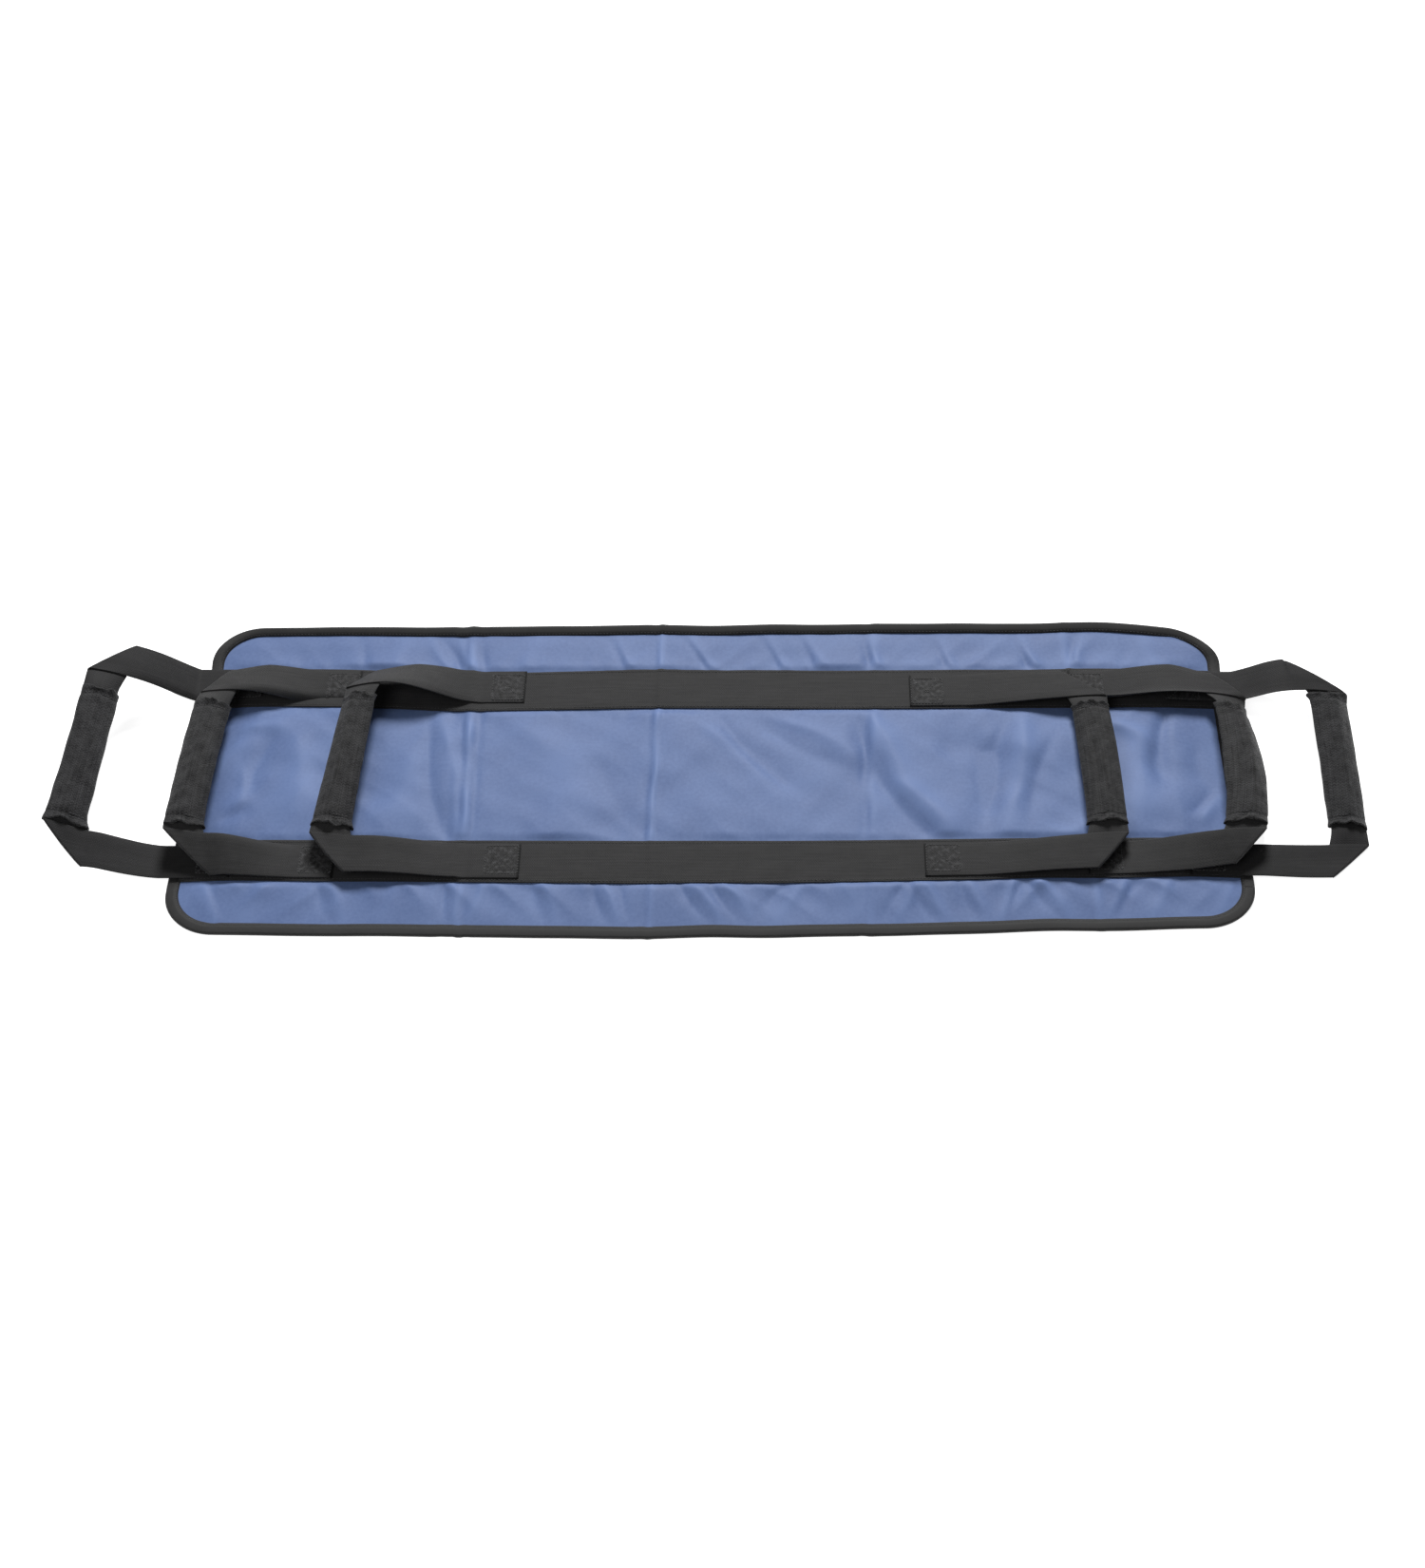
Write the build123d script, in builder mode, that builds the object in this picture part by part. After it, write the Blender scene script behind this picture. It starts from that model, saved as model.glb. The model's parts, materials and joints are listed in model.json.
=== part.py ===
from build123d import *
import os
from math import cos, radians, sin, sqrt

# A padded transfer sling: a thin foam pad with a bound edge, two base straps sewn along its whole
# length, and three nested webbing handles at each end. All sizes are in millimetres.
# +X runs along the pad, +Y across it and +Z up. The origin is on the ground under its centre.

# Pad
pad_length = 1050
pad_width = 390
corner_radius = 52
backing_thickness = 1.6
foam_thickness = 4.4
cover_thickness = 1.0
taper_width = 9
pad_top = backing_thickness + foam_thickness + cover_thickness

# Edge binding, a tape folded round the rim of the two covers
binding_width = 13
tape_thickness = 0.8
wall_thickness = 1.2
rim_top = 3.6
fit_gap = 0.2

# Webbing
webbing_thickness = 1.8
base_strap_width = 50
strap_offset = 108
handle_width = 40

# Fold across the middle: its axis lies under the pad, and each half is cut back from it at an
# angle, so that the pad folds flat underneath and also bends up by twice that angle.
fold_axis_z = -1.0
fold_angle = 30
fold_gap = 0.3

# Handle hinges: the axis lies above the sewn end, and the loop hangs below it by a small gap.
hinge_gap = 0.3
strap_top = pad_top + webbing_thickness
sewn_top = strap_top + webbing_thickness
hinge_z = sewn_top + 0.6
loop_start = 0.6

# Grip sleeves
grip_length = 156
grip_width = 45
grip_height = 7.2
grip_radius = 3
grip_slot = handle_width + 0.6
slot_height = webbing_thickness + 0.6

# Boxed cross-stitch that holds each sewn end
stitch_box = 32
stitch_margin = 3
thread_width = 0.8
thread_height = 0.4

# Each handle: its side of the pad, where its sewn end starts, where it hinges (both from the
# middle of the pad), the length of its loop, and the angle at which it stands at rest.
handles = {
    "inner_left": (-1, 190, 240, 138, 9),
    "inner_right": (1, 212, 262, 139, 6),
    "second_left": (-1, 362, 402, 126, 12),
    "second_right": (1, 366, 405, 124, 5),
    "outer_left": (-1, 463, 534, 110, 22),
    "outer_right": (1, 463, 534, 106, 2),
}

sides = {"left": -1, "right": 1}
rows = {"front": -1, "rear": 1}


def write(part, name):
    """Label one finished piece and write its STEP file."""
    part.label = name
    export_step(part, f"parts/{name}.step")


def inset_sketch(inset, height):
    """The pad's outline, drawn in by an inset, at a height."""
    with BuildSketch(Plane.XY.offset(height)) as outline:
        RectangleRounded(pad_length - 2 * inset, pad_width - 2 * inset, corner_radius - inset)
    return outline.sketch


def half_of(whole, side):
    """One half of a piece that runs the whole length, cut back from the fold."""
    lean = radians(fold_angle)
    cut = Plane(origin=(side * fold_gap, 0, fold_axis_z), z_dir=(side * cos(lean), 0, -sin(lean)))
    with BuildPart() as half:
        add(whole)
        split(bisect_by=cut, keep=Keep.TOP)
    return half.part


def hinge_plane(side, pivot, rise, drop):
    """A handle's own plane: X outward along its legs, Z up, lowered from the hinge axis by a drop."""
    angle = radians(rise)
    outward = (side * cos(angle), 0, sin(angle))
    normal = (-side * sin(angle), 0, cos(angle))
    plane = Plane(origin=(side * pivot, 0, hinge_z), x_dir=outward, z_dir=normal)
    return plane.offset(-drop)


os.makedirs("parts", exist_ok=True)

# Foam core: a thin sheet whose sides slope in
with BuildPart() as foam_core:
    foam_inset = binding_width + 2
    add(inset_sketch(foam_inset, backing_thickness))
    add(inset_sketch(foam_inset + taper_width, backing_thickness + foam_thickness))
    loft()

# Bottom cover: the backing that lies on the ground, with a rim that the binding holds
with BuildPart() as bottom_cover:
    add(inset_sketch(binding_width + fit_gap, 0))
    extrude(amount=backing_thickness)
    add(inset_sketch(wall_thickness + fit_gap, tape_thickness))
    extrude(amount=backing_thickness - tape_thickness)

# Top cover: a rim in the binding, and a shallow tray upside down over the foam
with BuildPart() as top_cover:
    add(inset_sketch(wall_thickness + fit_gap, backing_thickness))
    extrude(amount=rim_top - backing_thickness)
    add(inset_sketch(binding_width + fit_gap, rim_top))
    add(inset_sketch(binding_width + taper_width, pad_top))
    loft()
    add(foam_core.part, mode=Mode.SUBTRACT)

# Edge binding: a channel round the rim, open towards the pad
with BuildPart() as edge_binding:
    add(inset_sketch(0, 0))
    extrude(amount=rim_top + tape_thickness)
    add(inset_sketch(wall_thickness, tape_thickness))
    extrude(amount=rim_top - tape_thickness, mode=Mode.SUBTRACT)
    add(inset_sketch(binding_width, 0))
    extrude(amount=rim_top + tape_thickness, mode=Mode.SUBTRACT)

for side_name, side in sides.items():
    write(half_of(foam_core.part, side), f"foam_core_{side_name}")
    write(half_of(bottom_cover.part, side), f"bottom_cover_{side_name}")
    write(half_of(top_cover.part, side), f"top_cover_{side_name}")
    write(half_of(edge_binding.part, side), f"edge_binding_{side_name}")

# Base straps: flat along the pad, then down its sloping end to the binding
flat_end = pad_length / 2 - binding_width - taper_width
strap_end = pad_length / 2 - binding_width - 2 * fit_gap
end_drop = (pad_top - rim_top) * (strap_end - flat_end) / taper_width
for row_name, row in rows.items():
    with BuildPart() as base_strap:
        with BuildSketch(Plane.XZ.offset(-row * strap_offset)):
            with BuildLine():
                Polyline(
                    (0, pad_top),
                    (flat_end, pad_top),
                    (strap_end, pad_top - end_drop),
                    (strap_end, strap_top - end_drop),
                    (flat_end, strap_top),
                    (0, strap_top),
                    close=True,
                )
            make_face()
            mirror(about=Plane.YZ)
        extrude(amount=base_strap_width / 2, both=True)
    for side_name, side in sides.items():
        write(half_of(base_strap.part, side), f"base_strap_{row_name}_{side_name}")

for handle_name, (side, sewn_start, pivot, loop_length, rise) in handles.items():
    inner_edge = strap_offset - handle_width / 2
    outer_edge = strap_offset + handle_width / 2
    sewn_length = pivot - hinge_gap - sewn_start

    # Sewn ends: the two ends of the handle's webbing, lying on the base straps
    with BuildPart() as sewn_ends:
        with BuildSketch(Plane.XY.offset(strap_top)):
            with Locations((side * (sewn_start + sewn_length / 2), 0)):
                with GridLocations(0, 2 * strap_offset, 1, 2):
                    Rectangle(sewn_length, handle_width)
        extrude(amount=webbing_thickness)
    write(sewn_ends.part, f"{handle_name}_sewn_ends")

    # Box stitches: a square of thread with a cross in it on each sewn end
    with BuildPart() as box_stitches:
        with BuildSketch(Plane.XY.offset(sewn_top)):
            with Locations((side * (sewn_start + stitch_margin + stitch_box / 2), 0)):
                with GridLocations(0, 2 * strap_offset, 1, 2):
                    Rectangle(stitch_box, stitch_box)
                    Rectangle(
                        stitch_box - 2 * thread_width, stitch_box - 2 * thread_width, mode=Mode.SUBTRACT
                    )
                    diagonal = sqrt(2) * (stitch_box - thread_width)
                    Rectangle(diagonal, thread_width, rotation=45)
                    Rectangle(diagonal, thread_width, rotation=-45)
        extrude(amount=thread_height)
    write(box_stitches.part, f"{handle_name}_box_stitches")

    # Loop: two legs, with the crossing strap folded under their ends at 45 degrees
    leg_plane = hinge_plane(side, pivot, rise, hinge_gap + webbing_thickness)
    fold_start = loop_length - handle_width
    with BuildPart() as loop:
        with BuildSketch(leg_plane):
            with BuildLine():
                Polyline(
                    (loop_start, inner_edge),
                    (loop_start, outer_edge),
                    (fold_start, outer_edge),
                    (loop_length, inner_edge),
                    close=True,
                )
            make_face()
            mirror(about=Plane.XZ)
        extrude(amount=webbing_thickness)
        with BuildSketch(leg_plane.offset(-webbing_thickness)):
            with BuildLine():
                Polyline(
                    (fold_start, outer_edge),
                    (loop_length, inner_edge),
                    (loop_length, -inner_edge),
                    (fold_start, -outer_edge),
                    close=True,
                )
            make_face()
        extrude(amount=webbing_thickness)
    write(loop.part, f"{handle_name}_loop")

    # Grip sleeve: a flattened tube round the crossing strap
    crossing_plane = hinge_plane(side, pivot, rise, hinge_gap + 1.5 * webbing_thickness)
    grip_axis = Plane(
        origin=crossing_plane.from_local_coords((loop_length - handle_width / 2, 0, 0)),
        x_dir=crossing_plane.x_dir,
        z_dir=-crossing_plane.y_dir,
    )
    with BuildPart() as grip_sleeve:
        with BuildSketch(grip_axis):
            RectangleRounded(grip_width, grip_height, grip_radius)
            RectangleRounded(grip_slot, slot_height, 0.5, mode=Mode.SUBTRACT)
        extrude(amount=grip_length / 2, both=True)
    write(grip_sleeve.part, f"{handle_name}_grip_sleeve")
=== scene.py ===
"""The looks of a padded transfer sling: fabric, foam, binding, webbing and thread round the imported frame.

Lengths are in metres. +X runs along the pad, +Y across it and +Z up, as in the frame.
"""
import json
from math import pi, radians

import bpy
import numpy as np
from mathutils import Matrix, Vector


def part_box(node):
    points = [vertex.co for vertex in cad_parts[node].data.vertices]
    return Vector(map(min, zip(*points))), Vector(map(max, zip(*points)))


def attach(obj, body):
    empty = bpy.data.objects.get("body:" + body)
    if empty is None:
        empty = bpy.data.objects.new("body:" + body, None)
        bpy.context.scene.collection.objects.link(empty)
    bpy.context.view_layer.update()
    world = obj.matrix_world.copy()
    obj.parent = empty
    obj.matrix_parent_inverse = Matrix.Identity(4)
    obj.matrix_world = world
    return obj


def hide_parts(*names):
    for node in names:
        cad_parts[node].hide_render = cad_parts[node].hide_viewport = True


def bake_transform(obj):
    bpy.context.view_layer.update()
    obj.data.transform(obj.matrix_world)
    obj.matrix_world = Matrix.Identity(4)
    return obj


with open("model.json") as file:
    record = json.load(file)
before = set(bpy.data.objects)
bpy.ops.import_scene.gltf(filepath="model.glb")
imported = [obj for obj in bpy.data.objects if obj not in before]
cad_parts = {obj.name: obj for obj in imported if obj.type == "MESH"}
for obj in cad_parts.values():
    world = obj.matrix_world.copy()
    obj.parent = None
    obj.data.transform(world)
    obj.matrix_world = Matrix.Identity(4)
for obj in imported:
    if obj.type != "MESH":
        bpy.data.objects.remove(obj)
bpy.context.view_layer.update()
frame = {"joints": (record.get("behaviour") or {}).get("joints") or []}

MM = 0.001
TAU = 2 * pi
SIDES = {"left": -1, "right": 1}
ROWS = {"front": -1, "rear": 1}
NESTS = ("inner", "second", "outer")

# The pad's sizes, from the frame
binding_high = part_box("edge_binding_right")[1]
strap_low, strap_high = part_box("base_strap_rear_right")
half_length = binding_high[0]
half_width = binding_high[1]
corner = 52 * MM
pad_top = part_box("top_cover_right")[1][2]
strap_offset = (strap_low[1] + strap_high[1]) / 2
base_half = (strap_high[1] - strap_low[1]) / 2
web = strap_high[2] - pad_top
handle_half = 20 * MM
inner_edge = strap_offset - handle_half
margin_slope = half_width - strap_offset - base_half - 10 * MM

# Heights of the soft layers
floor_gap = 0.1 * MM
backing = 1.0 * MM
cover = 0.8 * MM
rim_height = 3.7 * MM
binding_width = 13 * MM
tape = 0.7 * MM
seat = pad_top - 0.5 * MM

# Sewing: two weights of thread, how far it stands off the cloth, and half the side of a box
seam_thread = 0.45 * MM
box_thread = 0.8 * MM
thread_gap = 0.02 * MM
box_half = 16 * MM


# --- Curves and noise ---

def smooth(value, low, high):
    """0 below low, 1 above high, and a smooth step between."""
    part = np.clip((value - low) / (high - low), 0, 1)
    return part * part * (3 - 2 * part)


def running(steps):
    """The running total of some steps, from 0."""
    return np.concatenate([[0], np.cumsum(steps)])


def waves(seed, size, count=14, lowest=0.0, highest=TAU):
    """A soft random relief with features of about one size: a sum of seeded sines, about -1 to 1.

    Its waves run only in directions between the lowest and the highest angle.
    """
    chance = np.random.default_rng(seed)
    turn = chance.uniform(lowest, highest, count)
    pitch = size * chance.uniform(0.7, 1.6, count)
    phase = chance.uniform(0, TAU, count)

    def relief(x, y):
        total = 0
        for t, p, f in zip(turn, pitch, phase):
            total = total + np.sin(TAU * (x * np.cos(t) + y * np.sin(t)) / p + f)
        return total / np.sqrt(count)

    return relief


def crease(x, y, start, end, width, height):
    """A soft ridge, or a valley where height is negative, along a line from start to end."""
    start = np.array(start)
    along = np.array(end) - start
    length = np.hypot(*along)
    ux, uy = along / length
    s = (x - start[0]) * ux + (y - start[1]) * uy
    d = -(x - start[0]) * uy + (y - start[1]) * ux
    ends = smooth(s, -0.3 * length, 0.25 * length) * smooth(-s, -1.3 * length, -0.75 * length)
    bend = 0.05 * length * np.sin(pi * np.clip(s / length, -0.2, 1.2)) * np.sign(height)
    d = (d - bend) / (width * (0.75 + 0.6 * np.clip(s / length, 0, 1)))
    return height * ends * np.exp(-np.abs(d) ** 1.7)


# --- The pad's shape ---

long_swell = waves(3, 0.34)
panel_swell = waves(11, 0.13)
small_swell = waves(23, 0.045)
edge_swell = waves(31, 0.12)
pucker_swell = waves(37, 0.016)
fold_wander = waves(43, 0.09)
rumple = waves(47, 0.075)
drag_left = waves(61, 0.055, 9, radians(12), radians(58))
drag_right = waves(67, 0.055, 9, radians(-58), radians(-12))
drag_patch = waves(71, 0.16, 6)

# Where the sling was folded for packing: place along X, lean across the pad, width and height. All
# numbers in these three tables are in millimetres.
PACKING_FOLDS = (
    (-258, -6, 6, -0.9), (-250, -8, 3.4, -0.8), (-243, -8, 4, 1.3), (-234, -4, 4, -0.6),
    (-60, 1, 5, -0.4), (-53, 0, 3, 1.1), (156, 5, 5, -0.8), (164, 6, 6, 0.5),
    (372, -4, 4, 0.9),
)

# Soft wrinkles of the middle panels: x and y of the start and of the end, width and height
PANEL_WRINKLES = (
    (165, 70, 195, -20, 13, 2.4), (150, 62, 178, -25, 12, -2.2), (192, -15, 240, -78, 13, 2.4),
    (178, -25, 225, -84, 11, -2), (318, 60, 292, -72, 13, 2.6), (296, 55, 274, -70, 12, -2.4),
    (345, 40, 314, -62, 8, -1.2), (235, 25, 275, 35, 30, -1.6), (375, -60, 346, -82, 8, 1.2),
    (-285, 50, -257, -83, 7, -1.6), (-272, 60, -246, -80, 9, 1.4), (-300, 20, -320, -60, 18, 1.4),
    (-5, 60, 66, -25, 10, 1.2), (12, 68, 85, -20, 9, -1.2), (70, 70, 150, 20, 10, 1.4),
    (60, 55, 135, 8, 9, -1), (-110, 5, -66, -72, 16, -1.2), (-190, 60, -120, -40, 26, 1),
    (-460, 88, -396, 82, 10, -1.8), (-476, 56, -434, 58, 8, 1.6), (-500, 5, -472, 42, 8, 1.8),
    (-448, 38, -464, -25, 9, -2), (-468, 0, -470, -42, 7, 2), (-484, -58, -460, -40, 8, -1.6),
    (-420, 40, -410, -50, 16, 2.2), (405, 62, 445, 36, 9, 1.8), (462, 75, 448, -8, 9, -2.8),
    (430, 40, 425, -50, 15, 2.2), (486, -58, 512, -26, 6, 2), (476, -50, 500, -18, 6, -1.8),
    (487, 30, 492, -16, 10, -1.6),
)

# Wrinkles that cross a margin: where along X they start at the strap and end at the binding, width
# and height
MARGIN_WRINKLES = {
    "rear": (
        (-362, -372, 5, -1), (-330, -318, 9, 0.9), (-260, -286, 4, -1.6), (-272, -296, 5, 1.2),
        (-249, -264, 4, 1.4), (-196, -180, 9, 0.8), (-91, -110, 4, -1.3), (-80, -100, 5, 0.9),
        (-5, -34, 4, -1.5), (6, -22, 6, 1.3), (70, 48, 4, -1.4), (80, 58, 5, 1.1),
        (106, 88, 4, -1.3), (122, 100, 6, 1), (164, 155, 5, -1.6), (176, 166, 5, 1.3),
        (242, 226, 5, -1.2), (252, 238, 6, 1.1), (327, 312, 5, -1.5), (338, 322, 5, 1.4),
        (366, 377, 4, -1.5), (378, 390, 5, 1.2), (420, 436, 8, -0.8), (462, 448, 8, 0.9),
    ),
    "front": (
        (-492, -470, 6, 1.5), (-482, -460, 5, -1.2), (-430, -444, 9, 1.2), (-377, -358, 5, -1.4),
        (-366, -346, 6, 1.2), (-300, -312, 8, 1), (-252, -248, 3.5, -1.8), (-244, -240, 3.5, 1.7),
        (-236, -232, 3.5, -1.6), (-215, -229, 5, 1.4), (-168, -152, 5, -1.5), (-158, -142, 5, 1.1),
        (-109, -93, 4.5, -1.8), (-98, -82, 4.5, 1.5), (-82, -70, 4, -1.2), (-26, 6, 4.5, -1.8),
        (-14, 18, 5, 1.7), (4, 36, 4.5, -1.7), (17, 50, 5, 1.5), (77, 46, 6, -1.3),
        (92, 62, 6, 1.2), (130, 150, 9, 0.8), (196, 219, 4.5, -1.8), (208, 230, 4.5, 1.7),
        (203, 178, 4.5, 1.5), (194, 168, 4.5, -1.4), (243, 259, 5, -1.5), (253, 268, 5, 1.3),
        (295, 279, 4.5, 1.8), (304, 290, 4.5, -1.4), (308, 336, 4.5, -1.8), (318, 347, 5, 1.8),
        (403, 380, 5, 1.5), (414, 392, 5, -1.4), (444, 422, 6, 1.3), (505, 484, 5, 1.4),
    ),
}


def inset(x, y):
    """How far a point lies inside the pad's outline."""
    ax, ay = np.abs(x), np.abs(y)
    dx = ax - (half_length - corner)
    dy = ay - (half_width - corner)
    straight = np.minimum(half_length - ax, half_width - ay)
    round_corner = corner - np.hypot(np.maximum(dx, 0), np.maximum(dy, 0))
    return np.where((dx > 0) & (dy > 0), round_corner, straight)


def folds(x, y):
    """The packing folds that run across the whole pad."""
    total = 0
    for fold in PACKING_FOLDS:
        place, lean, width, height = [MM * number for number in fold]
        d = x - place - lean * y / half_width - 1.6 * MM * fold_wander(y, place + 0 * y)
        fade = 0.75 + 0.45 * fold_wander(1.7 * y, 9 * place + 0 * y)
        total = total + height * fade * np.exp(-(d / width) ** 2)
    return total


def wrinkles(x, y):
    """The listed wrinkles of the panels and the margins."""
    total = 0
    for wrinkle in PANEL_WRINKLES:
        start_x, start_y, end_x, end_y, width, height = [MM * number for number in wrinkle]
        total = total + crease(x, y, (start_x, start_y), (end_x, end_y), width, height)
    inner, outer = strap_offset + base_half + 2 * MM, half_width - binding_width
    for row_name, row in ROWS.items():
        for inner_x, outer_x, width, height in MARGIN_WRINKLES[row_name]:
            start, end = (inner_x * MM, row * inner), (outer_x * MM, row * outer)
            total = total + crease(x, y, start, end, width * MM, height * MM)
    return total


def drags(x, y):
    """Diagonal drag lines: sharp low ridges that lean one way or the other in patches."""
    patch = smooth(drag_patch(x, 0.3 * y), -0.5, 0.5)
    left = 1 - 1.5 * np.abs(drag_left(x, y))
    right = 1 - 1.5 * np.abs(drag_right(x, y))
    margin = smooth(np.abs(y), strap_offset, strap_offset + base_half + 8 * MM)
    margin = margin * (1 - 0.45 * smooth(y, 0, strap_offset))
    strength = 0.18 + 0.82 * margin + 0.25 * (1 - margin) * smooth(np.abs(x), 0.2, 0.4)
    return 0.85 * MM * strength * (patch * left + (1 - patch) * right)


def seat_height(x, y):
    """Height of the cover where the straps press it down."""
    return seat + 0.5 * MM * long_swell(x, 0 * y) + 0.6 * folds(x, y)


def panel(y):
    """0 under the base straps and 1 out on the free panels of the cover."""
    off_seam = np.abs(np.abs(y) - strap_offset) - (base_half - 2 * MM)
    return smooth(off_seam, 0, 10 * MM)


def puckers(x, y):
    """Small gathers along the seams."""
    off_seam = np.abs(np.abs(y) - strap_offset) - base_half
    near = np.exp(-np.clip(off_seam, 0, None) / (7 * MM)) + np.exp(-inset(x, y) / (12 * MM))
    return 0.4 * MM * near * pucker_swell(x, 0.25 * y)


def cover_height(x, y):
    """Height of the top cover's outer face."""
    free = panel(y)
    puff = 1.7 * MM + 0.9 * MM * panel_swell(x, y) + 0.3 * MM * small_swell(x, y)
    puff = puff + folds(x, y) + 1.3 * puckers(x, y) + 1.35 * wrinkles(x, y) + 1.2 * drags(x, y)
    puff = puff + 0.7 * MM * rumple(x, y) * (0.5 + 0.5 * smooth(np.abs(x), 0.10, 0.30))
    d = inset(x, y)
    body = seat_height(x, y) + free * np.maximum(puff, -1.5 * MM)
    rim = rim_height + 0.15 * MM * edge_swell(x, y)
    rise = np.clip((d - binding_width + 4 * MM) / margin_slope, 0, 1)
    return rim + (body - rim) * rise


def settle(points):
    """Shift and draw in the sewn fabric a little, and curl the rear edge, as the pad lies in use."""
    x, y = points[..., 0], points[..., 1]
    near = smooth(-y, 0.05, half_width)
    far = smooth(y, 0.05, half_width)

    # The front edge bows out left of the middle and draws in towards the right end
    bow = 6.5 * MM * np.exp(-((x + 0.06) / 0.36) ** 2) - 2.5 * MM - 4 * MM * smooth(x, 0.1, 0.5)
    pull = 0.7 * MM * edge_swell(x, 0 * y) + 0.8 * folds(x, y)

    # The straps lie nearer to the front edge, except at the left end of the rear one
    middle = 1 - np.clip(np.abs(y) / half_width, 0, 1) ** 3
    left_drift = 8 * MM * smooth(-x, 0.22, 0.40) * smooth(y, 0, strap_offset)
    shift = (5.5 * MM + 0.009 * y - left_drift) * middle

    # The rear right corner is drawn in, and the rear edge curls up from its margin
    rear_corner = far * 16 * MM * smooth(x, 0.40, 0.56) * smooth(y, 0.11, 0.20)
    wide_curl = np.clip(1 - inset(x, y) / (margin_slope + binding_width), 0, 1)
    edge_curl = np.clip(1 - inset(x, y) / (binding_width + 1 * MM), 0, 1)
    curl = smooth(y, 0.129, 0.172) * (5 * MM * wide_curl + 3.5 * MM * edge_curl)

    points[..., 1] = y - near * (bow + pull) + far * pull - shift - rear_corner - 0.75 * curl
    points[..., 2] = points[..., 2] + curl
    return points


# --- Meshes ---

def make_piece(name, points, faces, uv, material):
    """A smooth mesh piece, with its UVs in metres of cloth."""
    mesh = bpy.data.meshes.new(name)
    mesh.from_pydata(points.reshape(-1, 3).tolist(), [], faces)
    layer = mesh.uv_layers.new(name="cloth")
    corner_vertex = np.empty(len(mesh.loops), dtype=np.int32)
    mesh.loops.foreach_get("vertex_index", corner_vertex)
    layer.data.foreach_set("uv", uv.reshape(-1, 2)[corner_vertex].astype(np.float32).ravel())
    mesh.polygons.foreach_set("use_smooth", [True] * len(mesh.polygons))
    mesh.materials.append(material)
    mesh.validate()
    piece = bpy.data.objects.new(name, mesh)
    bpy.context.collection.objects.link(piece)
    return piece


def mark(piece, name, values):
    """A number at each point of a piece, for its material."""
    layer = piece.data.attributes.new(name, "FLOAT", "POINT")
    layer.data.foreach_set("value", values.astype(np.float32).ravel())


def grid_faces(rows, columns, wrap_rows=False, wrap_columns=False, first=0):
    """Faces of a grid of points, row after row, that may close on itself either way."""
    row_count = rows if wrap_rows else rows - 1
    column_count = columns if wrap_columns else columns - 1
    r, c = np.meshgrid(np.arange(row_count), np.arange(column_count), indexing="ij")
    r2, c2 = (r + 1) % rows, (c + 1) % columns
    quads = np.stack([r * columns + c, r * columns + c2, r2 * columns + c2, r2 * columns + c], -1)
    return (quads.reshape(-1, 4) + first).tolist()


def tube_piece(name, rings, uv, material, closed=False, flip=False):
    """A closed mesh through rings of points, joined end to end or capped."""
    rows, columns = rings.shape[:2]
    faces = grid_faces(rows, columns, wrap_rows=closed, wrap_columns=True)
    if not closed:
        faces.append(list(range(columns - 1, -1, -1)))
        faces.append(list(range((rows - 1) * columns, rows * columns)))
    if flip:
        faces = [face[::-1] for face in faces]
    return make_piece(name, rings, faces, uv, material)


def tube_uv(run, across, height):
    """Cloth coordinates of a tube: its run, and the way round its section."""
    around = running(np.hypot(np.diff(across), np.diff(height)))
    return np.stack(np.broadcast_arrays(run[:, None], around[None, :]), -1)


def layer_piece(name, top, bottom, uv, material):
    """A closed sheet with a top and a bottom grid of points."""
    rows, columns = top.shape[:2]
    count = rows * columns
    faces = grid_faces(rows, columns)
    faces += [face[::-1] for face in grid_faces(rows, columns, first=count)]
    index = np.arange(count).reshape(rows, columns)
    rim = np.concatenate([index[0, :-1], index[:-1, -1], index[-1, :0:-1], index[:0:-1, 0]]).tolist()
    for here, there in zip(rim, rim[1:] + rim[:1]):
        faces.append([there, here, here + count, there + count])
    faces = [face[::-1] for face in faces]
    return make_piece(name, np.stack([top, bottom]), faces, np.stack([uv, uv]), material)


def strap_section(half, thick, segments=10):
    """Cross-section of webbing: places across it and heights, once round."""
    across = half * np.sin(np.linspace(-pi / 2, pi / 2, segments + 1))
    bulge = thick / 2 * (0.4 + 0.6 * (1 - (np.abs(across) / half) ** 6))
    t = np.concatenate([across, across[::-1]])
    h = np.concatenate([bulge, -bulge[::-1]])
    return t, h


def stitch_ends(start, end, pitch=3.2 * MM, stitch=2.3 * MM):
    """Both ends of every stitch along a straight row."""
    length = np.hypot(*(end - start))
    count = max(round(length / pitch), 1)
    way = (end - start) / length
    first = start + way * (length / count - stitch) / 2
    heads = first + way * (np.arange(count) * length / count)[:, None]
    return np.stack([heads, heads + way * stitch], 1)


STITCH_SIDES = 6
# Rings of a stitch from head to tail: place along it, share of its thickness, and lift
STITCH_RINGS = ((0, 0.15, -0.5), (0.12, 0.75, 0), (0.5, 1, 0.35), (0.88, 0.75, 0), (1, 0.15, -0.5))


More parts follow.
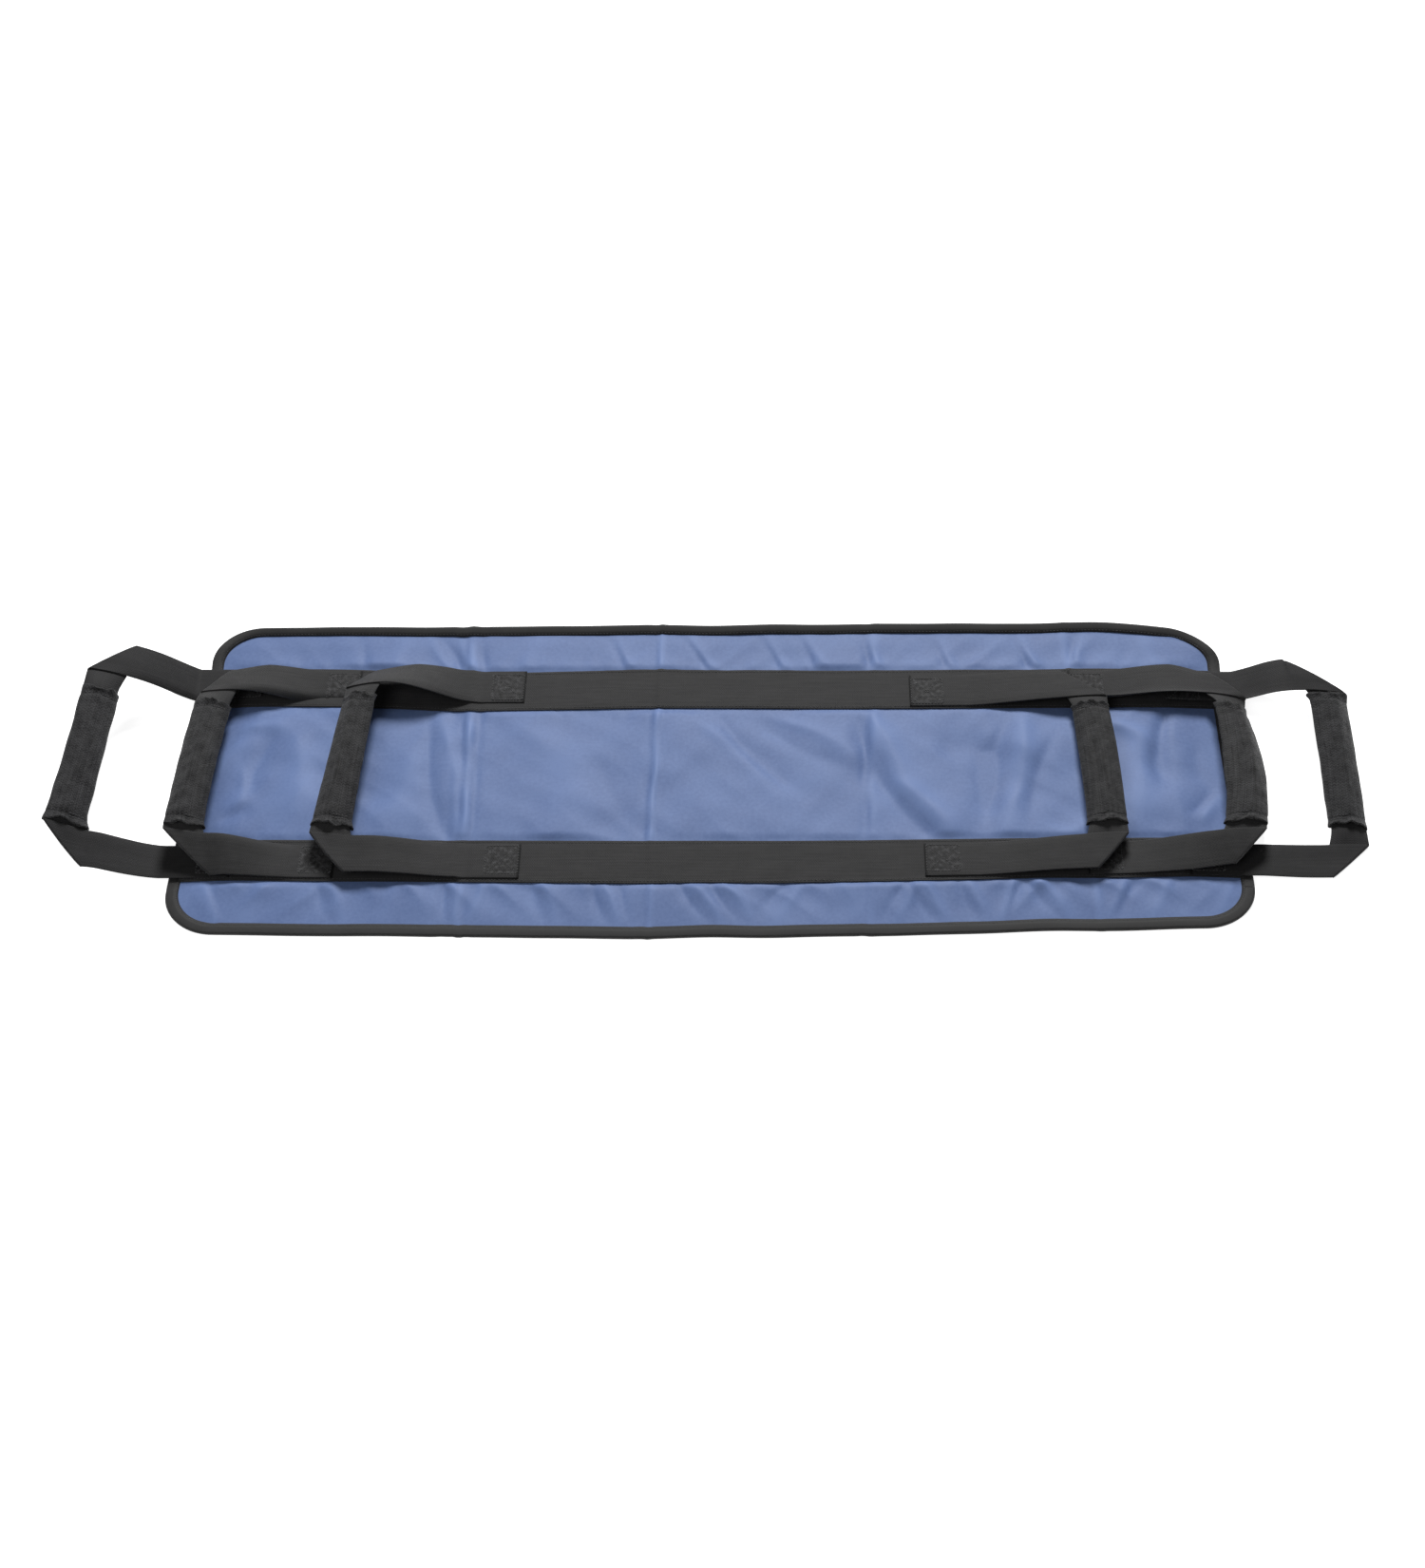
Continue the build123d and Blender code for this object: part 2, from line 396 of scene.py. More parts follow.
def stitch_piece(name, ends, thick):
    """Small capsules of thread between pairs of points that lie on the cloth."""
    start, end = ends[:, 0], ends[:, 1]
    along = end - start
    along = along / np.linalg.norm(along, axis=1, keepdims=True)
    side = np.cross(along, np.array([0.0, 0.0, 1.0]))
    side = side / np.linalg.norm(side, axis=1, keepdims=True)
    up = np.cross(side, along)
    rings = []
    for at, swell, lift in STITCH_RINGS:
        middle = start + (end - start) * at + up * thick * lift * 0.5
        for k in range(STITCH_SIDES):
            angle = TAU * k / STITCH_SIDES
            rings.append(middle + thick * 0.5 * swell * (side * np.cos(angle) + up * np.sin(angle)))
    points = np.stack(rings, 1)
    count = len(rings)
    head = list(range(STITCH_SIDES - 1, -1, -1))
    tail = list(range(count - STITCH_SIDES, count))
    one = grid_faces(len(STITCH_RINGS), STITCH_SIDES, wrap_columns=True) + [head, tail]
    faces = []
    for k in range(len(points)):
        faces += [[index + count * k for index in face] for face in one]
    uv = np.stack([points[..., 0], points[..., 1]], -1)
    return make_piece(name, points, faces, uv, black_thread)


# --- Materials ---

class Shade:
    """A small builder of node materials: each call adds one node and returns its output."""

    def __init__(self, name):
        self.material = bpy.data.materials.new(name)
        self.material.use_nodes = True
        self.tree = self.material.node_tree
        self.shader = self.tree.nodes["Principled BSDF"]

    def node(self, kind, inputs=(), output=0, **settings):
        made = self.tree.nodes.new(kind)
        for key, value in settings.items():
            setattr(made, key, value)
        for socket, value in dict(inputs).items():
            self.plug(made.inputs[socket], value)
        return made.outputs[output]

    def plug(self, socket, value):
        if isinstance(value, bpy.types.NodeSocket):
            self.tree.links.new(value, socket)
        else:
            socket.default_value = value

    def math(self, operation, a, b=0.0):
        return self.node("ShaderNodeMath", {0: a, 1: b}, operation=operation)

    def times(self, a, b):
        return self.math("MULTIPLY", a, b)

    def total(self, *parts):
        """The sum of some values, each times its weight."""
        whole = None
        for value, weight in parts:
            term = value if weight == 1 else self.times(value, weight)
            whole = term if whole is None else self.math("ADD", whole, term)
        return whole

    def marked(self, name):
        """The number that a mesh holds at each of its points under a name."""
        return self.node("ShaderNodeAttribute", output=2, attribute_name=name)

    def cloth(self):
        """The two cloth coordinates, in metres along and across the piece."""
        place = self.node("ShaderNodeUVMap", uv_map="cloth")
        made = self.tree.nodes.new("ShaderNodeSeparateXYZ")
        self.tree.links.new(place, made.inputs[0])
        return place, made.outputs[0], made.outputs[1]

    def wave(self, value, pitch):
        """A sine of one coordinate, from -1 to 1, that repeats every pitch."""
        return self.math("SINE", self.times(value, TAU / pitch))

    def noise(self, place, scale, detail=3.0, rough=0.5):
        inputs = {"Vector": place, "Scale": scale, "Detail": detail, "Roughness": rough}
        return self.node("ShaderNodeTexNoise", inputs)

    def ramp(self, factor, dark, light, low=0.3, high=0.7):
        made = self.tree.nodes.new("ShaderNodeValToRGB")
        self.tree.links.new(factor, made.inputs[0])
        for stop, position, colour in zip(made.color_ramp.elements, (low, high), (dark, light)):
            stop.position = position
            stop.color = (*colour, 1)
        return made.outputs[0]

    def mix(self, factor, colour, other):
        """One colour mixed into another by a factor."""
        inputs = {0: factor, 6: colour, 7: (*other, 1)}
        return self.node("ShaderNodeMix", inputs, output=2, data_type="RGBA")

    def spread(self, factor, low, high):
        """A value between low and high, steered by a factor from 0 to 1."""
        return self.node("ShaderNodeMapRange", {0: factor, 3: low, 4: high})

    def bump(self, height, distance, strength=1.0, normal=None):
        inputs = {"Height": height, "Distance": distance, "Strength": strength}
        if normal is not None:
            inputs["Normal"] = normal
        return self.node("ShaderNodeBump", inputs)

    def finish(self, colour, rough, normal=None, specular=0.5, sheen=(0, 0.5)):
        """The finished material; sheen is a weight and a roughness."""
        inputs = self.shader.inputs
        inputs["Specular IOR Level"].default_value = specular
        inputs["Sheen Weight"].default_value = sheen[0]
        inputs["Sheen Roughness"].default_value = sheen[1]
        self.plug(inputs["Base Color"], colour)
        self.plug(inputs["Roughness"], rough)
        if normal is not None:
            self.plug(inputs["Normal"], normal)
        return self.material


def shade_cover(name, dark, light):
    """Coated Oxford cloth: a fine basket weave, soft mottling and a low satin gloss, paler on ridges,
    partly from creases worn pale and partly from a painted highlight.
    """
    shade = Shade(name)
    place, u, v = shade.cloth()
    weave = shade.times(shade.wave(u, 1.1 * MM), shade.wave(v, 1.1 * MM))
    slub = shade.noise(place, 900.0, 2.0)
    mottle = shade.noise(place, 16.0, 5.0, 0.6)
    fine = shade.noise(place, 260.0, 3.0, 0.6)
    ridge_wear_and_highlight = shade.marked("ridge_wear_and_highlight")
    tone = shade.total((mottle, 0.6), (fine, 0.4), (weave, 0.03), (ridge_wear_and_highlight, 0.16))
    # The paler tone of the ridges: partly creases worn pale, partly a painted highlight
    worn = [1.22 * c for c in light]
    colour = shade.ramp(tone, dark, light, 0.36, 0.62)
    colour = shade.mix(shade.times(ridge_wear_and_highlight, 0.55), colour, worn)
    normal = shade.bump(shade.total((weave, 0.5), (slub, 1)), 0.08 * MM, 0.5)
    rough = shade.spread(mottle, 0.52, 0.66)
    return shade.finish(colour, rough, normal, specular=0.35, sheen=(0.15, 0.45))


def shade_webbing(name, dark, light, along=2.2 * MM, across=3.2 * MM, fluff=0.25 * MM, worn=30.0):
    """Woven nylon webbing: a herringbone of small chevrons, streaked lengthwise, duller where rubbed.

    Its tacked boxes carry painted shade and highlights of the stitching; its cut end is darker, partly from
    singeing and partly painted shadow.
    """
    shade = Shade(name)
    place, u, v = shade.cloth()
    column = shade.math("PINGPONG", v, across / 2)
    chevron = shade.wave(shade.math("ADD", u, column), along)
    rib = shade.wave(v, across / 2)
    weave = shade.total((chevron, 0.5), (rib, 0.2))
    fuzz = shade.noise(place, 1400.0, 2.0)
    rub = shade.noise(place, worn, 6.0, 0.7)
    long_way = shade.node("ShaderNodeCombineXYZ", {0: shade.times(u, 0.05), 1: v})
    streak = shade.noise(long_way, 420.0, 3.0, 0.6)
    tone = shade.total((rub, 0.5), (fuzz, 0.2), (streak, 0.3), (weave, 0.1))
    colour = shade.ramp(tone, dark, light, 0.36, 0.64)
    tacked = shade.marked("tacked")
    # In the tacked boxes: painted shade in the stitch dimples and painted highlights on the puckers between
    # them
    stitch_shading = shade.times(shade.math("SUBTRACT", shade.noise(place, 240.0, 3.0), 0.5), 3.5)
    for sign, shading_colour in ((-1.0, (0.005, 0.005, 0.0055)), (1.0, (0.085, 0.085, 0.089))):
        part = shade.math("MAXIMUM", shade.times(stitch_shading, sign), 0.0)
        colour = shade.mix(shade.times(tacked, part), colour, shading_colour)
    # The cut end darker: partly singeing of the nylon, partly painted shadow of the cut edge
    colour = shade.mix(shade.marked("singed_end_and_shade"), colour, (0.003, 0.003, 0.0035))
    weave_normal = shade.bump(shade.total((weave, 1), (fuzz, 0.5)), 0.22 * MM, 0.7)
    normal = shade.bump(rub, fluff, 1.0, weave_normal)
    rough = shade.spread(rub, 0.55, 0.8)
    return shade.finish(colour, rough, normal, specular=0.2, sheen=(0.12, 0.5))


def shade_tape(name, dark, light):
    """Ribbed binding tape: fine ribs across the tape."""
    shade = Shade(name)
    place, u, _ = shade.cloth()
    rib = shade.wave(u, 1.0 * MM)
    fuzz = shade.noise(place, 1300.0, 2.0)
    rub = shade.noise(place, 45.0, 4.0, 0.6)
    colour = shade.ramp(shade.total((rub, 0.8), (fuzz, 0.2)), dark, light, 0.35, 0.7)
    normal = shade.bump(shade.total((rib, 0.5), (fuzz, 0.4)), 0.15 * MM, 0.6)
    rough = shade.spread(rub, 0.6, 0.78)
    return shade.finish(colour, rough, normal, sheen=(0.12, 0.5))


def shade_thread(name, dark, light):
    """Twisted sewing thread, with a painted highlight on each twist."""
    shade = Shade(name)
    place, u, v = shade.cloth()
    twist = shade.wave(shade.math("ADD", u, v), 0.9 * MM)
    # Paler along each twist: painted highlight
    colour = shade.ramp(shade.spread(twist, 0.4, 0.6), dark, light)
    normal = shade.bump(twist, 0.08 * MM, 0.6)
    return shade.finish(colour, shade.spread(twist, 0.5, 0.6), normal)


def shade_foam(name):
    """Pale open-cell foam."""
    shade = Shade(name)
    place = shade.cloth()[0]
    cells = shade.node("ShaderNodeTexVoronoi", {"Vector": place, "Scale": 900.0})
    stain = shade.noise(place, 14.0)
    colour = shade.ramp(stain, (0.62, 0.6, 0.5), (0.8, 0.79, 0.72))
    normal = shade.bump(cells, 0.3 * MM, 0.8)
    return shade.finish(colour, shade.spread(stain, 0.85, 0.95), normal)


def shade_floor(name):
    """Matte white studio floor."""
    shade = Shade(name)
    place = shade.node("ShaderNodeTexCoord", output=3)
    grain = shade.noise(place, 3.0)
    colour = shade.ramp(grain, (0.9, 0.9, 0.9), (0.92, 0.92, 0.92))
    shade.shader.inputs["Emission Color"].default_value = (1, 1, 1, 1)
    shade.shader.inputs["Emission Strength"].default_value = 0.85
    return shade.finish(colour, shade.spread(grain, 0.85, 0.9))


cover_cloth = shade_cover("blue_oxford_cloth", (0.104, 0.166, 0.360), (0.143, 0.216, 0.434))
backing_cloth = shade_cover("blue_backing_cloth", (0.10, 0.16, 0.33), (0.14, 0.205, 0.39))
black_webbing = shade_webbing("black_webbing", (0.018, 0.018, 0.0185), (0.043, 0.0425, 0.0435))
# A darker copy of the black webbing for the outer handles: painted shade
shaded_outer_webbing = shade_webbing("black_webbing_painted_shade", (0.012, 0.012, 0.0125), (0.031, 0.0305, 0.0315))
sleeve_webbing = shade_webbing("black_sleeve_webbing", (0.001, 0.001, 0.0013), (0.052, 0.052, 0.0545),
                               3.0 * MM, 4.4 * MM, fluff=3.0 * MM, worn=62.0)
black_tape = shade_tape("black_binding_tape", (0.008, 0.008, 0.0085), (0.0215, 0.021, 0.0215))
black_thread = shade_thread("black_thread", (0.035, 0.035, 0.037), (0.15, 0.15, 0.155))
pale_foam = shade_foam("pale_foam")


# --- Covers, foam and binding ---

def pad_grid(step, edge):
    """A grid of points over the pad, drawn in from its outline by an edge distance."""
    crowding = 0.12  # how much closer together the rows lie towards the edges
    half_x, half_y = half_length - edge, half_width - edge
    radius = corner - edge
    columns = np.linspace(-1, 1, 2 * round(half_x / step) + 1)
    rows = np.linspace(-1, 1, 2 * round(half_y / step) + 1)
    rows = rows * (1 + crowding * (1 - rows ** 2))
    u, y = np.meshgrid(columns, rows * half_y, indexing="ij")
    over = np.clip(np.abs(y) - (half_y - radius), 0, radius)
    loss = radius - np.sqrt(np.maximum(radius ** 2 - over ** 2, 0))
    x = u * half_x
    x = x - np.sign(u) * loss * smooth(np.abs(x), half_x - 3.2 * radius, half_x)
    return x, y


def lay(x, y, z):
    """Points at heights z, settled with the rest of the pad."""
    return settle(np.stack([x, y, z], -1))


def pad_layer(name, x, y, top, bottom, material):
    """A layer of the pad between two heights."""
    return layer_piece(name, lay(x, y, top), lay(x, y, bottom), np.stack([x, y], -1), material)


def make_cover():
    """The top cover, with its ridges marked for its material: creases worn pale and a painted highlight."""
    x, y = pad_grid(2.6 * MM, 1.6 * MM)
    z = cover_height(x, y)
    piece = pad_layer("top_cover", x, y, z, z - cover, cover_cloth)
    # Ridges of the folds and wrinkles: partly creases worn pale, partly a painted highlight
    ridge_wear_and_highlight = np.clip(folds(x, y) / (1 * MM), 0, 1) + 0.5 * np.clip(wrinkles(x, y) / (1.6 * MM), 0, 1)
    mark(piece, "ridge_wear_and_highlight", np.stack([ridge_wear_and_highlight, ridge_wear_and_highlight]))
    return piece


def make_backing():
    """The bottom cover, laid on the floor and raised a little where the binding runs under it."""
    x, y = pad_grid(6 * MM, 1.6 * MM)
    under_rim = 1 - smooth(inset(x, y), 7 * MM, 14 * MM)
    z = floor_gap + 0.7 * MM * under_rim + 0.15 * MM * (1 + small_swell(x, y)) * (1 - under_rim)
    return pad_layer("bottom_cover", x, y, z + backing, z, backing_cloth)


def make_foam():
    """The foam, kept clear of both covers."""
    x, y = pad_grid(6 * MM, 12 * MM)
    top = np.minimum(cover_height(x, y), pad_top + 0.5 * MM) - cover - 2.4 * MM
    bottom = np.full_like(top, floor_gap + backing + 0.5 * MM)
    top = np.maximum(top, bottom + 0.2 * MM)
    return pad_layer("foam_core", x, y, top, bottom, pale_foam)


def outline(step):
    """Points round the pad's outline, with the way in and the run."""
    run_x, run_y = half_length - corner, half_width - corner
    quarter = pi * corner / 2
    total = 4 * (run_x + run_y + quarter)
    count = round(total / step)
    points, inward, runs = [], [], []
    for k in range(count):
        p = total * k / count
        runs.append(p)
        centre, angle, slide = outline_place(p, run_x, run_y, quarter)
        way = np.array([np.cos(angle), np.sin(angle)])
        points.append(centre + slide + way * corner)
        inward.append(-way)
    return np.array(points), np.array(inward), np.array(runs)


def outline_place(p, run_x, run_y, quarter):
    """The corner centre, the outward angle and the slide along a straight, at a run p round the pad."""
    turns = ((1, 1, 0, run_y), (-1, 1, 90, run_x), (-1, -1, 180, run_y), (1, -1, 270, run_x))
    for sx, sy, start, half_run in turns:
        centre = np.array([sx * run_x, sy * run_y])
        straight = radians(start)
        along = np.array([-np.sin(straight), np.cos(straight)])
        if p < 2 * half_run:
            return centre, straight, along * (p - 2 * half_run)
        p -= 2 * half_run
        if p < quarter:
            return centre, straight + p / corner, np.zeros(2)
        p -= quarter
    return np.array([run_x, run_y]), 0.0, np.array([0.0, -2 * run_y])


def tape_ripple(x, y):
    """How the binding's upper face rises and falls along the rim."""
    return 0.2 * MM * waves(41, 0.05)(x, y)


def binding_section():
    """Cross-section of the folded tape: places inward from its outer edge and heights, once round."""
    mid = (rim_height + tape) / 2
    turn = np.linspace(-pi / 2, pi / 2, 7)
    edge_round = 2.3 * MM
    lip = 7.5 * MM
    cavity = 6 * MM
    wall = 1.2 * MM
    outer_in = np.concatenate([[binding_width, lip], edge_round * (1 - np.cos(turn)), [lip, binding_width]])
    outer_z = np.concatenate([[0, 0], mid + mid * np.sin(turn), [2 * mid + 0.1 * MM, 2 * mid]])
    inner_in = np.array([binding_width, cavity, wall, wall, cavity, binding_width])
    inner_z = np.array([tape, tape, mid - 1.0 * MM, mid + 1.0 * MM, 2 * mid - tape, 2 * mid - tape])
    return np.concatenate([outer_in, inner_in[::-1]]), np.concatenate([outer_z, inner_z[::-1]])


def make_binding():
    """Tape folded round the rim: a thin channel, rounded at its outer edge."""
    points, inward, runs = outline(3.5 * MM)
    section_in, section_z = binding_section()
    flat = points[:, None, :] + inward[:, None, :] * section_in[None, :, None]
    ripple = tape_ripple(flat[..., 0], flat[..., 1]) * (section_z / (rim_height + tape))
    z = section_z[None, :] + ripple + floor_gap
    rings = settle(np.concatenate([flat, z[..., None]], -1))
    uv = tube_uv(runs, section_in, section_z)
    return tube_piece("edge_binding", rings, uv, black_tape, closed=True)


# --- Base straps ---

def strap_top(x, y):
    """Height of the base strap's upper face."""
    return cover_height(x, y) + web


def strap_wander(row, x):
    """How far a base strap strays from its straight line."""
    return 1.2 * MM * waves(51 + row, 0.5)(x, 0 * x)


def make_base_strap(row_name):
    """Webbing sewn flat along the pad, its ends tucked under the binding."""
    row = ROWS[row_name]
    end = half_length - 4 * MM
    x = np.linspace(-end, end, 420)
    t, h = strap_section(base_half, web)
    flat_x, across = np.meshgrid(x, t, indexing="ij")
    y = row * strap_offset + across + strap_wander(row, x)[:, None]
    tuck = smooth(np.abs(flat_x), half_length - binding_width, half_length - 9 * MM)
    z = cover_height(flat_x, y) + web / 2 + h[None, :] - tuck * 1.6 * MM
    uv = np.stack([flat_x, across], -1)
    return tube_piece(f"base_strap_{row_name}", lay(flat_x, y, z), uv, black_webbing)


def blend_over_fold(piece):
    """A piece that runs the whole length, with its transform baked into its points."""
    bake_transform(piece)


def replace_halves(piece, node):
    """One continuous piece takes the place of a node's left and right halves."""
    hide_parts(f"{node}_left", f"{node}_right")
    blend_over_fold(piece)


top_cover = make_cover()
bottom_cover = make_backing()
foam_core = make_foam()
edge_binding = make_binding()
replace_halves(top_cover, "top_cover")
replace_halves(bottom_cover, "bottom_cover")
replace_halves(foam_core, "foam_core")
replace_halves(edge_binding, "edge_binding")
for row_name in ROWS:
    replace_halves(make_base_strap(row_name), f"base_strap_{row_name}")


def strap_seam_stitches(row_name):
    """The two rows of stitches that hold a base strap down."""
    row = ROWS[row_name]
    end = half_length - 14 * MM
    ends = []
    for edge in (-1, 1):
        y = row * strap_offset + edge * (base_half - 2.5 * MM)
        ends.append(stitch_ends(np.array([-end, y]), np.array([end, y]), 3.6 * MM, 2.6 * MM))
    ends = np.concatenate(ends)
    x = ends[..., 0]
    y = ends[..., 1] + strap_wander(row, x)
    z = cover_height(x, y) + web + thread_gap
    return stitch_piece(f"base_strap_{row_name}_stitches", lay(x, y, z), seam_thread)


def binding_stitches():
    """The row of stitches that closes the binding."""
    points, inward, _ = outline(3.6 * MM)
    half_stitch = 1.25 * MM
    middle = points + inward * (binding_width - 2.2 * MM)
    way = np.stack([inward[:, 1], -inward[:, 0]], -1)
    ends = np.stack([middle - way * half_stitch, middle + way * half_stitch], 1)
    x, y = ends[..., 0], ends[..., 1]
    z = rim_height + tape + floor_gap + tape_ripple(x, y) + thread_gap
    return stitch_piece("binding_stitches", lay(x, y, z), seam_thread)


for seam in [strap_seam_stitches(row_name) for row_name in ROWS] + [binding_stitches()]:
    blend_over_fold(seam)


# --- Handles ---

# How each handle lies at rest, in degrees and millimetres. front and rear: the slope of that leg at
# five places from its hinge to the grip. Pairs, for the front and the rear: lean, how far the leg's
# inner edge is raised, as an angle; reach, how much further out the corner lies than on a plain loop;
# splay, how much further out again its outer tip; tuck, the share of the fold's width drawn in; cock,
# how far the grip's outer edge is raised at the fold; drift, how far the leg lies behind the base
# strap's middle; roll, the grip's turn about its own length; spare, the sewn end's extra length. bow,
# arch and slide: how far the grip's middle is pushed out and up, and its sleeve slipped to the rear.
IN_MILLIMETRES = ("reach", "splay", "cock", "drift", "spare", "bow", "arch", "slide")
PLAIN_LIE = {
    "lean": (0, 0), "reach": (0, 0), "splay": (0, 0), "tuck": (0, 0), "cock": (0, 0), "drift": (0, 0),
    "roll": (0, 0), "spare": (0, 0), "bow": 0, "arch": 0, "slide": 0,
}
HANDLE_LIE = {
    "inner_left": {
        "front": (4, 9, 7, 4, 0), "rear": (8, 13, 2, -16, -22), "lean": (5, 35),
        "reach": (9, -5), "splay": (4, 12), "tuck": (0, 0.2), "cock": (4, 0),
        "drift": (0, 3), "spare": (10, 0), "bow": 0.5, "arch": 3, "slide": -3},
    "inner_right": {
        "front": (2, 6, 8, 5, 3), "rear": (4, 8, 6, 5, 3), "lean": (5, 3),
        "reach": (6, -1), "splay": (9, -2), "tuck": (0, 0.1),
        "drift": (0, -5), "spare": (2, 9), "bow": 1.5, "arch": 3},
    "second_left": {
        "front": (3, 6, 4, 1, 0), "rear": (6, 14, 6, -9, -14), "lean": (27, 14),
        "reach": (0, -5), "splay": (-8, 14), "tuck": (0, 0.2), "cock": (6, 0),
        "roll": (0, 22), "bow": 2.0, "arch": 4, "slide": -6},
    "second_right": {
        "front": (2, 6, 9, 7, 4), "rear": (9, 15, 1, -11, -13), "lean": (16, 4),
        "reach": (8, 16), "splay": (10, 10), "tuck": (0.1, 0.3),
        "roll": (0, -35), "bow": 9.0, "arch": 3, "slide": -4},
    "outer_left": {
        "front": (7, 18, 22, 20, 18), "rear": (32, 40, 30, 19, 12), "lean": (8, 0),
        "reach": (3, 0), "cock": (6, 0), "drift": (0, 4),
        "roll": (0, 10), "arch": 1, "slide": -10},
    "outer_right": {
        "front": (-4, -5, -1, 0, 1), "rear": (18, 31, 8, -9, -10),
        "reach": (-1, 7), "splay": (0, -14), "tuck": (0, 0.1), "drift": (-3, 0),
        "roll": (0, -10), "bow": 1.0, "arch": 1, "slide": 9},
}
FOLD_RADIUS = 1.05 * MM  # of the webbing's middle where it turns over at a corner
GATHER = 0.14  # share of the strap's width lost where it is squeezed on the grip
CUP = 4.0 * MM  # how far the middle of the strap stands up on the grip


class Handle:
    """One nested handle: where it lies at rest, and the way from its flat webbing to that place."""

    def __init__(self, name):
        self.name = name
        self.nest, side_name = name.split("_")
        self.side = SIDES[side_name]
        self.pad_body = f"pad_{side_name}"
        self.body = f"{name}_handle"
        joint = next(j for j in frame["joints"] if j["name"] == f"{name}_lift")
        self.pivot = abs(joint["pos_m"][0])
        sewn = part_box(f"{name}_sewn_ends")
        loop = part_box(f"{name}_loop")
        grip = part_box(f"{name}_grip_sleeve")
        self.sewn_start = min(abs(sewn[0][0]), abs(sewn[1][0]))
        tip = max(abs(loop[0][0]), abs(loop[1][0])) - self.pivot
        lift = loop[1][2] - sewn[1][2]
        self.length = float(np.hypot(tip, lift)) + 0.5 * MM
        self.sleeve_half = grip[1][1] - 1 * MM
        self.lie = {**PLAIN_LIE, **HANDLE_LIE[name]}
        for key in IN_MILLIMETRES:
            self.lie[key] = np.multiply(self.lie[key], MM)
        self.legs = [self.leg_curve(self.lie[row]) for row in ROWS]
        self.crossing = self.length - handle_half

    def leg_curve(self, slopes):
        """Distance outward, height and slope along a leg, from its slopes in degrees."""
        u = np.linspace(0, self.length + 0.01, 200)
        slope = np.radians(np.interp(u, np.linspace(0, self.length, len(slopes)), slopes))
        window = 20
        kernel = np.hanning(2 * window + 1)
        padded = np.concatenate([np.full(window, slope[0]), slope, np.full(window, slope[-1])])
        slope = np.convolve(padded, kernel / kernel.sum(), mode="valid")
        step = u[1] - u[0]
        out = running(np.cos(slope[:-1]) * step)
        up = running(np.sin(slope[:-1]) * step)
        return u, out, up, slope

    def between(self, key, share):
        """A front and rear pair of the handle's lie, mixed by how far to the rear a point is."""
        front, rear = self.lie[key]
        return front * (1 - share) + rear * share

    def turn_grip(self, u, v, w, share):
        """Cup, roll and gather the webbing on the grip: new distances outward and off the plane."""
        on_grip = 1 - smooth(np.abs(v), strap_offset - 38 * MM, strap_offset - 12 * MM)
        from_middle = u - self.crossing
        across_grip = np.clip(from_middle / handle_half, -1.2, 1.2)
        w = w + CUP * on_grip * (1 - across_grip ** 2)
        roll = np.radians(self.between("roll", share)) * on_grip
        centre = -FOLD_RADIUS * on_grip
        narrow = from_middle - GATHER * on_grip * (from_middle - 0.8 * handle_half)
        turned = narrow * np.cos(roll) - (w - centre) * np.sin(roll)
        return self.crossing + turned, centre + narrow * np.sin(roll) + (w - centre) * np.cos(roll)

    def along_legs(self, u, share):
        """How far out and up the handle runs at a distance u, and its slope, between its two legs."""
        parts = []
        for column in (1, 2, 3):
            front, rear = [np.interp(u, leg[0], leg[column]) for leg in self.legs]
            parts.append(front * (1 - share) + rear * share)
        return parts

    def bulge(self, u, v):
        """1 at the middle of the grip, and nothing at its ends and at the hinge."""
        middle = np.clip(1 - (v / inner_edge) ** 2, 0, 1)
        return middle * smooth(u, 0.4 * self.length, self.crossing)

    def past_corner(self, u, v):
        """How far a point of the corner fold lies past the inner edge of its leg."""
        on_fold = smooth(u, 0.45 * self.length, self.length - 2 * handle_half)
        return on_fold * np.clip(np.abs(v) - inner_edge, 0, 2 * handle_half)

    def push(self, u, v, share):
        """How much further out than its plain leg a point lies."""
        out = self.between("reach", share) * smooth(u, 0, self.length)
        out = out + self.lie["bow"] * self.bulge(u, v)
        return out + self.between("splay", share) * self.past_corner(u, v) / (2 * handle_half)

    def rise(self, u, v, share):
        """How much higher than its plain leg a point lies."""
        soft = 2.5 * MM
        inward = strap_offset - np.abs(v)
        inward = handle_half - soft * np.log1p(np.exp((handle_half - inward) / soft))
        swing = smooth(u, 0, 0.75 * self.length)
        up = np.sin(np.radians(self.between("lean", share))) * swing * (inward + handle_half)
        up = up + self.lie["arch"] * self.bulge(u, v)
        edge = np.clip((u - self.crossing) / handle_half, -1, 1)
        edge = edge * smooth(u, 0.5 * self.length, self.crossing)
        return up + self.between("cock", share) * edge * smooth(np.abs(v), 0.2 * inner_edge, inner_edge)

    def seat_of_hinge(self, u, share):
        """Height of the base straps' upper faces under a sewn end, and under the hinge past it."""
        x = self.side * np.minimum(self.pivot + np.minimum(u, 0), half_length - 26 * MM)
        front, rear = [strap_top(x, row * strap_offset + 0 * u) for row in ROWS.values()]
        return front * (1 - share) + rear * share

    def place(self, u, v, w):
        """World points for a distance u past the hinge, v across the pad and w off the loop's plane."""
        share = np.clip((v + strap_offset) / (2 * strap_offset), 0, 1)
        gathered, w = self.turn_grip(u, v, w, share)
        out, up, slope = self.along_legs(gathered, share)
        out = out + np.minimum(u, 0) + self.push(u, v, share)
        up = up + self.rise(u, v, share)
        slope = slope * smooth(u, -2 * MM, 18 * MM)
        drift = self.between("drift", share) * smooth(np.abs(v), 0, inner_edge)
        tucked = self.between("tuck", share) * self.past_corner(u, v)
        x = self.side * (self.pivot + out - w * np.sin(slope))
        y = v + drift - np.sign(v) * tucked
        z = self.seat_of_hinge(u, share) + web / 2 - FOLD_RADIUS + up + w * np.cos(slope)
        return lay(x, y, z)

